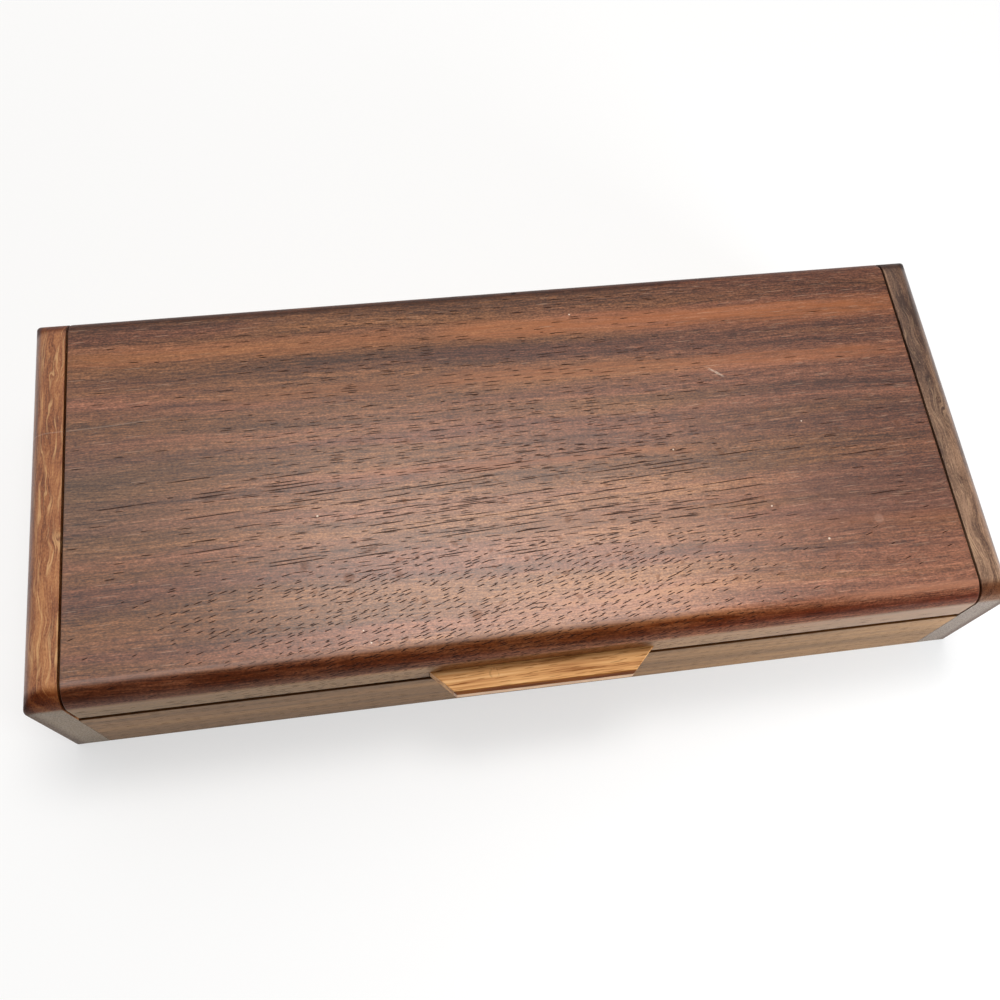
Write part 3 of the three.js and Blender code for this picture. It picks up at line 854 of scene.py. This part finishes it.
def rosewood(name, along, seed):
    """Three noises and a speckle looked up in four tones, with plain pores. Painted shade lies on what is
    higher than the rails and no deeper behind the face than the liner's outer side, and a painted reflection
    lightens the wood towards the right."""
    material, bench = new_material(name)
    x, y, z = place_in_mm(bench)
    run, over = (x, y) if along == "x" else (y, x)
    sway = bench.noise(bench.point(run / 60, over / 22, z / 22 + seed), 2.0) - 0.5
    broad, medium, fine = grain_layers(bench, run, over + sway * 6, z + sway * 4, seed)
    speckle = bench.noise(bench.point(run / 1.6, over / 0.45, z / 0.45), 2.0, 0.6)
    lightness = layered((broad, 0.6), (medium, 0.45), (fine, 0.3), (speckle, 0.4)) + 0.5
    wood = bench.ramp(lightness, (0.15, 0.42, 0.62, 0.88), STICK_TONES)
    pores = dashes(bench, run, over + z, *RAIL_PORES, 0.05, 0.34)
    wood = bench.colour(pores * 0.75, wood, rgb(44, 24, 17))
    # Painted shade on the top of the step under the lid, so that the seam looks dark.
    painted_seam_shade = bench.soft_step(z, RAIL_TOP - 0.25, RAIL_TOP - 0.05)
    painted_seam_shade = painted_seam_shade * bench.soft_step(behind_face(y), RAIL_DEPTH + 0.2, RAIL_DEPTH + 0.4, 1.0, 0.0)
    wood = bench.stain(painted_seam_shade, wood, (0.50, 0.38, 0.28))
    # Lighter and greyer towards the right: a painted reflection of the brighter light there.
    wood = bench.stain(bench.soft_step(x, 30, 110), wood, (1.14, 1.19, 1.28))
    rough = 0.5 + (medium - 0.5) * 0.08 + pores * 0.2
    finish_surface(bench, wood, rough, fine * 0.22 - pores * 0.65 + 0.65, RELIEF, **OILED)
    return material


rosewood_rails = rosewood("rosewood_rails", "x", 5.0)
rosewood_cross = rosewood("rosewood_dividers", "y", 9.0)
print("rosewood for sticks:", rosewood_rails.name, rosewood_cross.name)

# %% [markdown]
# ### Rosewood for the end blocks
# The blocks' grain runs from front to back, so their long faces show wavy bands and pale veins, and their
# front and back faces are end grain, shown as a stipple of two greys. The left block was cut near the sapwood
# and is paler than the right one. One function makes both, and only its tones and shares differ.

# %% Rosewood for the end blocks
def pale_veins(bench, y, over, seed, vein_share, fleck_share):
    """A mask of veins and flecks. A vein shows where stretched noise is near its middle value, so it
    wanders like a contour line, and a second noise breaks it. A fleck is a peak of a finer noise."""
    figure = bench.noise(bench.point(y / 42, over / 2.0, seed + 7), 3.0, 0.55)
    veins = bench.soft_step(abs(figure - 0.5), 0.0, 0.048, 1.0, 0.0)
    veins = veins * bench.soft_step(bench.noise(bench.point(y / 16, over / 3, seed + 19), 2.0), 0.44, 0.60)
    flecks = bench.soft_step(bench.noise(bench.point(y / 3.4, over / 0.34, seed + 29), 2.0), 0.62, 0.70)
    return bench.larger(veins * vein_share, flecks * fleck_share)


def block_rosewood(name, seed, tones, vein_colour, vein_share, fleck_share, face_grey, rise=0.0):
    """Wood that gets lighter towards the front by rise, a painted sheen. end is 1 in the end grain at the front
    and the back: there lines and veins fade, the pores are dots, and a fine stipple of two greys lies over all.
    The outer round-over and the top round-overs are darkened with painted shade."""
    material, bench = new_material(name)
    x, y, z = place_in_mm(bench)
    sheet = abs(x) - z
    lean = depth_lean(y)
    end = bench.soft_step(lean, 0.30, 0.75)
    sway = bench.noise(bench.point(y / 15, sheet / 6, seed), 2.0) - 0.5
    over = sheet + sway * 6.5 + y * 0.03
    patches = bench.noise(bench.point(y / 17, over / 3.6, seed + 3), 3.0)
    lines = bench.noise(bench.point(y / 14, over / 0.55, seed + 11), 3.0, 0.6)
    speckle = bench.noise(bench.point(x / 0.5, y / 0.8, z / 0.5), 2.0, 0.6)
    lightness = layered((patches, 1.3), (lines, 1.05 - end * 0.90), (speckle, 0.75)) + 0.5
    # The rise lightens the front and darkens the back: painted sheen.
    lightness = lightness + bench.soft_step(y, FRONT / MM, BACK / MM, rise, -rise)
    wood = bench.ramp(lightness, (0.16, 0.42, 0.60, 0.86), tones)
    pale = pale_veins(bench, y, over, seed, vein_share, fleck_share) * (1.0 - end)
    # The veins fade towards the back with the same painted sheen.
    pale = pale * bench.soft_step(y, FRONT / MM, BACK / MM, 1.0, 1.0 - rise * 3)
    wood = bench.colour(pale, wood, vein_colour)
    dots = bench.soft_step(bench.noise(bench.point(x / 0.42, y / 0.42, z / 0.42), 2.0), 0.52, 0.62)
    pores = bench.soft_step(bench.noise(bench.point(y / 3.0, over / 0.36, seed + 41), 1.0), 0.68, 0.74)
    pores = bench.node("ShaderNodeMix", {"data_type": "FLOAT"}, {0: end, 2: pores, 3: dots})
    wood = bench.colour(pores * 0.45, wood, rgb(48, 26, 18))
    stipple = bench.noise(bench.point(x / 0.5, z / 0.5, seed), 2.0, 0.7)
    grey = bench.colour(bench.soft_step(stipple, 0.35, 0.65), *face_grey)
    wood = bench.colour(bench.soft_step(lean, 0.95, 1.0) * 0.85, wood, grey)
    # Painted shade on the outer round-over, which faces away from the light.
    outer_painted_shade = bench.soft_step(edge_lean(x, OUTER / MM), 0.35, 0.80, 0.0, 0.85)
    wood = bench.stain(outer_painted_shade, wood, (0.42, 0.30, 0.24))
    # Painted shade on the rounded top edges at the front and the back.
    wood = round_over_painted_shade(bench, wood, x, y, z, (0.38, 0.23, 0.15))
    wood = bench.colour(scratch(bench, x + OUTER / MM, BACK / MM - y), wood, BARE_WOOD)
    rough = 0.46 + (lines - 0.5) * 0.10 + pores * 0.2
    coat = polish(bench, x, y, 0.55, pores)
    finish_surface(bench, wood, rough, lines * 0.3 - pores * 0.5 + 0.5, RELIEF, **OILED,
                   **{"Coat Weight": coat})
    return material


rosewood_pale = block_rosewood("rosewood_left_block", 14.0,
                               [rgb(98, 52, 28), rgb(138, 80, 44), rgb(160, 102, 60), rgb(184, 126, 78)],
                               rgb(222, 176, 122), 0.62, 0.35, (rgb(116, 104, 88), rgb(158, 146, 128)), 0.05)
rosewood_brown = block_rosewood("rosewood_right_block", 31.0,
                                [rgb(64, 45, 38), rgb(96, 71, 58), rgb(122, 93, 74), rgb(152, 119, 96)],
                                rgb(202, 166, 132), 0.45, 0.70, (rgb(99, 89, 82), rgb(139, 128, 118)), 0.20)
print("rosewood for the blocks:", rosewood_pale.name, rosewood_brown.name)

# %% [markdown]
# ## Oak, and the plain woods inside
# The finger pull is a lighter wood, so that a hand finds it: golden, with darker lines along it and small
# flecks. The bottom panel is plain birch and the dowels are raw beech. They use the same two ideas as the
# rosewood, stretched noise and dashes, with other sizes and colours.

# %% Oak and plain woods
PULL_BEVEL = 0.85 * MM
BEVEL_DROP = 2.0
RING_LEFT, RING_RADIUS = -15.5, 1.4
OAK_TONES = [rgb(158, 102, 54), rgb(203, 146, 91), rgb(219, 163, 104), rgb(233, 183, 126)]
BIRCH_TONES = [rgb(186, 156, 116), rgb(202, 174, 134), rgb(210, 184, 146), rgb(218, 194, 158)]
BEECH_TONES = [rgb(186, 142, 106), rgb(200, 158, 122), rgb(208, 168, 132), rgb(216, 178, 144)]


def bevel_painted_light_and_ring(bench, wood, x, y, z):
    """The pull's bevelled front edge is darkened with painted shade, the face under it is paler, a painted
    reflection, and behind it a broken ring marks a small knot: a soft step of the distance to a circle."""
    raised = bench.soft_step(z, PULL_HIGH[2] / MM - BEVEL_DROP - 0.05, PULL_HIGH[2] / MM - BEVEL_DROP + 0.10)
    behind = (PULL_LOW[1] + PULL_BEVEL) / MM
    front = bench.soft_step(y, behind - 0.1, behind + 0.15, 1.0, 0.0)
    # Painted shade on the bevel and a painted reflection on the face under it.
    wood = bench.stain(front * raised, wood, (0.29, 0.15, 0.0))
    wood = bench.colour(front * (1.0 - raised) * 0.60, wood, rgb(212, 182, 158))
    circle = abs(bench.distance(bench.point(x, y), RING_LEFT, FRONT / MM - 2.5) - RING_RADIUS)
    broken = bench.soft_step(bench.noise(bench.point(x / 0.9, y / 2.5, 8.0), 1.0), 0.42, 0.58)
    ring = bench.soft_step(circle, 0.10, 0.50, 0.36, 0.0) * broken * raised
    return bench.colour(ring, wood, rgb(132, 84, 42))


def plain_wood(name, tones, line_width, fleck, fleck_colour, fleck_share, rough=0.5, pull=False):
    """A light wood along X: bands and lines in four tones, and flecks as dashes of size (length, width)."""
    material, bench = new_material(name)
    x, y, z = place_in_mm(bench)
    sway = bench.noise(bench.point(x / 40, y / 9, z / 9), 2.0) - 0.5
    bands = bench.noise(bench.point(x / 55, (y + sway * 3) / (line_width * 5), z / (line_width * 5)), 3.0)
    lines = bench.noise(bench.point(x / 18, (y + sway * 3) / line_width, z / line_width + 4), 2.0)
    wood = bench.ramp(layered((bands, 1.2), (lines, 1.5)) + 0.5, (0.18, 0.42, 0.62, 0.85), tones)
    flecks = dashes(bench, x, y + z, (fleck[0] * 1.2, fleck[1] * 3.4), fleck, 0.05, fleck_share)
    wood = bench.colour(flecks * 0.6, wood, fleck_colour)
    if pull:
        wood = bevel_painted_light_and_ring(bench, wood, x, y, z)
    finish_surface(bench, wood, rough + flecks * 0.2, lines * 0.3 - flecks * 0.7 + 0.7, RELIEF, **OILED)
    return material


oak = plain_wood("oak", OAK_TONES, 0.7, (6.0, 0.22), rgb(136, 82, 38), 0.55, 0.5, pull=True)
birch = plain_wood("birch_panel", BIRCH_TONES, 1.6, (2.0, 0.25), rgb(166, 132, 96), 0.25, 0.6)
beech = plain_wood("beech_dowel", BEECH_TONES, 0.7, (1.6, 0.22), rgb(154, 108, 76), 0.6, 0.65)
print("light woods:", oak.name, birch.name, beech.name)

# %% [markdown]
# ## Suede and brass
# The lining pads are thin board wrapped in brown suede, whose nap is rough and lies in soft patches. The
# pins are drawn brass rod: metal with fine rings left by the die. They hardly show, but the box hangs on them.

# %% Suede and brass
def suede_finish():
    """A fine noise for the nap and a broad one for its patches, looked up in three browns."""
    material, bench = new_material("suede")
    x, y, z = place_in_mm(bench)
    nap = bench.noise(bench.point(x / 0.35, y / 0.35, z / 0.35), 3.0, 0.65)
    patches = bench.noise(bench.point(x / 13, y / 18, z / 13), 3.0, 0.6, 0.6)
    tone = (nap - 0.5) * 0.9 + bench.soft_step(patches, 0.40, 0.62, -0.12, 0.12) + 0.5
    cloth = bench.ramp(tone, (0.15, 0.5, 0.85), [rgb(40, 32, 28), rgb(62, 51, 45), rgb(88, 74, 65)])
    finish_surface(bench, cloth, 0.9 + (nap - 0.5) * 0.15, nap, 2.5 * RELIEF,
                   **{"Sheen Weight": 0.5, "Sheen Roughness": 0.5, "Specular IOR Level": 0.2})
    return material


def brass_finish():
    """Rings are noise squeezed along the rod, and wear is a broad noise between two brass tones."""
    material, bench = new_material("brass")
    x, y, z = place_in_mm(bench)
    rings = bench.noise(bench.point(x / 0.25, y / 6, z / 6), 2.0)
    wear = bench.noise(bench.point(x / 3, y / 1.5, z / 1.5), 2.0)
    metal = bench.colour(wear, rgb(190, 152, 84), rgb(214, 180, 112))
    finish_surface(bench, metal, 0.24 + rings * 0.14 + wear * 0.06, rings, 0.2 * RELIEF, **{"Metallic": 1.0})
    return material


suede, brass = suede_finish(), brass_finish()
print("finishes inside:", suede.name, brass.name)

# %% [markdown]
# ## The lid
# The lid is 17 mm of solid wood. Its outline from the side has a 7 mm round-over at the front and the back,
# a small ease at the lower front edge, and a lower back edge that is an arc about the pins, so that it can
# turn without touching the back rail. Where the finger pull is let in, the outline steps back to make the
# notch: the same points are used, moved to the notch's corner.

# %% Lid
NOTCH_HALF = 35.15 * MM
NOTCH_BACK = FRONT + 2.65 * MM
NOTCH_TOP = PULL_HIGH[2] + 0.15 * MM
END_EASE = 0.35 * MM


def lid_outline(inset, notched):
    """Side outline of the lid drawn in by inset, as points (Y, Z) counter-clockwise. It starts on the front
    face at the height of the notch, follows the lower edge, the arc about the pins and the two round-overs."""
    under, top = LID_LOW[2] + inset, LID_HIGH[2] - inset
    reach = BACK - HINGE[1] - inset
    start = -np.degrees(np.arcsin((HINGE[2] - under) / reach))
    if notched:
        lower = np.concatenate([
            np.stack([np.linspace(FRONT, NOTCH_BACK, 4)[1:], np.full(3, NOTCH_TOP)], 1),
            np.stack([np.full(4, NOTCH_BACK), np.linspace(NOTCH_TOP, under, 5)[1:]], 1)])
    else:
        radius = max(LIP - inset, 0.02 * MM)
        lower = arc((FRONT + inset + radius, under + radius), radius, 180, 270, 6)
    return with_leads(np.concatenate([
        [(FRONT + inset, NOTCH_TOP)], lower, [(NOTCH_BACK, under)],
        arc(HINGE[1:], reach, start, 0, 12),
        arc((BACK - ROUND_OVER, HEIGHT - ROUND_OVER), ROUND_OVER - inset, 0, 90, 20),
        arc((FRONT + ROUND_OVER, HEIGHT - ROUND_OVER), ROUND_OVER - inset, 90, 180, 20)]))


def make_lid():
    stations, insets = eased_stations(LID_LOW[0], LID_HIGH[0], END_EASE)
    middle = len(stations) // 2
    notch = NOTCH_HALF * np.array([-1, -1, 1, 1])
    stations = np.concatenate([stations[:middle], notch, stations[middle:]])
    insets = np.concatenate([insets[:middle], np.zeros(4), insets[middle:]])
    notched = np.isin(np.arange(len(stations)), (middle + 1, middle + 2))
    outlines = np.stack([lid_outline(i, n) for i, n in zip(insets, notched)])
    loops = np.concatenate([np.broadcast_to(stations[:, None, None], (*outlines.shape[:2], 1)), outlines], 2)
    return skin("valet_lid", loops)


fit(make_lid(), "lid", "rosewood", rosewood_lid, "lid")

# %% [markdown]
# ## The finger pull
# Seen from above the pull is a low trapezoid, 70 mm long at the lid and 55 mm at its front, and its front top
# edge is bevelled. Three loops make it: the bottom, the start of the bevel and the top, where the front edge
# stands back. The ends keep their slant, because a loop's front corners slide along it.

# %% Finger pull
PULL_FRONT_HALF = 27.6 * MM


def make_pull():
    """Loops of six corners at three heights. The front half length at depth y is the front one plus the
    taper, the difference of the two lengths over the projection, times the way back from the front."""
    back_half = PULL_HIGH[0]
    taper = (back_half - PULL_FRONT_HALF) / (FRONT - PULL_LOW[1])
    heights = np.array([PULL_LOW[2], PULL_HIGH[2] - BEVEL_DROP * MM, PULL_HIGH[2]])
    fronts = PULL_LOW[1] + np.array([0, 0, PULL_BEVEL])
    halves = PULL_FRONT_HALF + taper * (fronts - PULL_LOW[1])
    ones = np.ones(3)
    x = np.stack([-halves, halves, back_half * ones, back_half * ones, -back_half * ones, -back_half * ones], 1)
    y = np.stack([fronts, fronts, FRONT * ones, PULL_HIGH[1] * ones, PULL_HIGH[1] * ones, FRONT * ones], 1)
    z = np.broadcast_to(heights[:, None], x.shape)
    pull = skin("oak_finger_pull", np.stack([x, y, z], 2), smooth_below=20)
    soften(pull, 0.3 * MM, 3)
    return pull


fit(make_pull(), "lid", "oak", oak, "finger_pull")

# %% [markdown]
# ## End blocks
# An end block is rounded over along three top edges, and the two round-overs meet in a mitre at the corners.
# Carrying one outline along can't do that. So the block is a pile of level loops instead: each loop is the
# plan of the block at its height, and towards the top it draws in along a quarter circle on three sides.

# %% End blocks
def make_end_block(name, side):
    """Loop at height z: a rectangle from the inner face to the outer one, drawn in on three sides by
    radius * (1 - cos t) where z is height - radius + radius * sin t, and by the ease at the bottom."""
    low_turn = np.radians(np.linspace(0, 90, 4))
    top_turn = np.radians(np.linspace(0, 90, 21))
    z = np.concatenate([[0], EASE * (1 - np.cos(low_turn)), [EASE + LEAD, HEIGHT - ROUND_OVER - LEAD],
                        HEIGHT - ROUND_OVER + ROUND_OVER * np.sin(top_turn), [HEIGHT]])
    inset = np.concatenate([[EASE + LEAD], EASE * (1 - np.sin(low_turn)), [0, 0],
                            ROUND_OVER * (1 - np.cos(top_turn)), [ROUND_OVER + LEAD]])
    corner, square = 1.1 * MM, 0.0
    outlines = np.stack([
        with_leads(rounded((-OUTER + i, FRONT + i), (-INNER, BACK - i), (corner, square, square, corner), 5)
                   if side < 0 else
                   rounded((INNER, FRONT + i), (OUTER - i, BACK - i), (square, corner, corner, square), 5))
        for i in inset
    ])
    loops = np.concatenate([outlines, np.broadcast_to(z[:, None, None], (*outlines.shape[:2], 1))], 2)
    block = skin(name, loops)
    soften(block, 0.22 * MM)
    return block


fit(make_end_block("left_end_block", -1), "base", "pale_rosewood", rosewood_pale, "end_block_left")
fit(make_end_block("right_end_block", 1), "base", "brown_rosewood", rosewood_brown, "end_block_right")

# %% [markdown]
# ## Rails, dividers and liner strips
# These are straight sticks with eased edges, one call each. The liner strips stand above the rails, and the
# lid comes down on them, which leaves the dark seam that runs round the front.

# %% Rails, dividers and liners
SOFT = 0.5 * MM
SHARP = 0.05 * MM
for row in ("front", "back"):
    node = row + "_rail"
    piece = stick("rosewood_" + node, *span(node), 0, (SOFT, SOFT, LIP, LIP), 0.1 * MM)
    fit(piece, "base", "rosewood", rosewood_rails, node)
    for place in ("left", "middle", "right"):
        node = "liner_" + row + "_" + place
        fit(stick("strip_" + node, *span(node), 0, (SHARP, SHARP, SOFT, SOFT)), "base", "rosewood",
            rosewood_rails, node)
for place in ("left", "right"):
    for node in ("liner_end_" + place, "divider_" + place):
        fit(stick("strip_" + node, *span(node), 1, (SHARP, SHARP, SOFT, SOFT)), "base", "rosewood",
            rosewood_cross, node)

# %% [markdown]
# ## Lining pads
# Each compartment has a thin pad on its floor: card with a little foam, wrapped in suede. Wrapped edges are
# round, the top is slightly crowned, and the sides pull in a touch between the corners.

# %% Lining pads
# The loop near the end of the wrapped edge where the crown starts
FIRST_CROWNED = 13


def make_pad(name, node):
    """Loops from the middle of the bottom, round the wrapped edge, to the middle of the top. A loop is a
    rounded rectangle drawn in by inset; its sides bow inwards by bow * (1 - t * t), with t from -1 to 1
    along the side, and the top rises by crown * (1 - exp(-inset / 9 mm))."""
    low, high = span(node)
    settle, edge, crown, bow, corner = np.array([0.15, 1.3, 0.35, 0.45, 4]) * MM
    low = low - (0, 0, settle)
    turn = np.radians(np.linspace(-90, 90, 13))
    spread = np.array([30, 12, 4, 2.2]) * MM
    top = high[2] - crown
    radius = (top - low[2]) / 2
    inset = np.concatenate([spread, edge * (1 - np.cos(turn)), spread[::-1]])
    rise = np.concatenate([np.full(4, low[2]), low[2] + radius + radius * np.sin(turn), np.full(4, top)])
    crowned = np.arange(len(rise)) >= FIRST_CROWNED
    rise = rise + np.where(crowned, crown * (1 - np.exp(-inset / (9 * MM))), 0)
    centre, half = (low + high)[:2] / 2, (high - low)[:2] / 2
    plan = np.stack([rounded(low[:2] + i, high[:2] - i, [corner] * 4, 6) for i in inset])
    side = np.clip((plan - centre) / half, -1, 1)
    plan = plan - bow * side * (1 - side[..., ::-1] ** 2)
    loops = np.concatenate([plan, np.broadcast_to(rise[:, None, None], (*plan.shape[:2], 1))], 2)
    return skin(name, loops, smooth_below=60)


for place in ("left", "middle", "right"):
    pad = fit(make_pad("suede_pad_" + place, "lining_" + place), "base", "suede", suede, "lining_" + place)

# %% [markdown]
# ## The pieces that stay as they are
# The bottom panel, the dowels and the pins have the right shape in the packed model. They only need their
# finish, which goes into their own material slot.

# %% Panel, dowels and pins
for name, node in frame["nodes"].items():
    material = birch if name == "bottom_panel" else beech if name.startswith("dowel") else brass
    if name == "bottom_panel" or name.startswith(("dowel", "hinge_pin")):
        for slot in node.material_slots:
            slot.material = material
print("nodes kept from the packed model:", sum(not node.hide_render for node in frame["nodes"].values()))

# %% [markdown]
# ## Finish
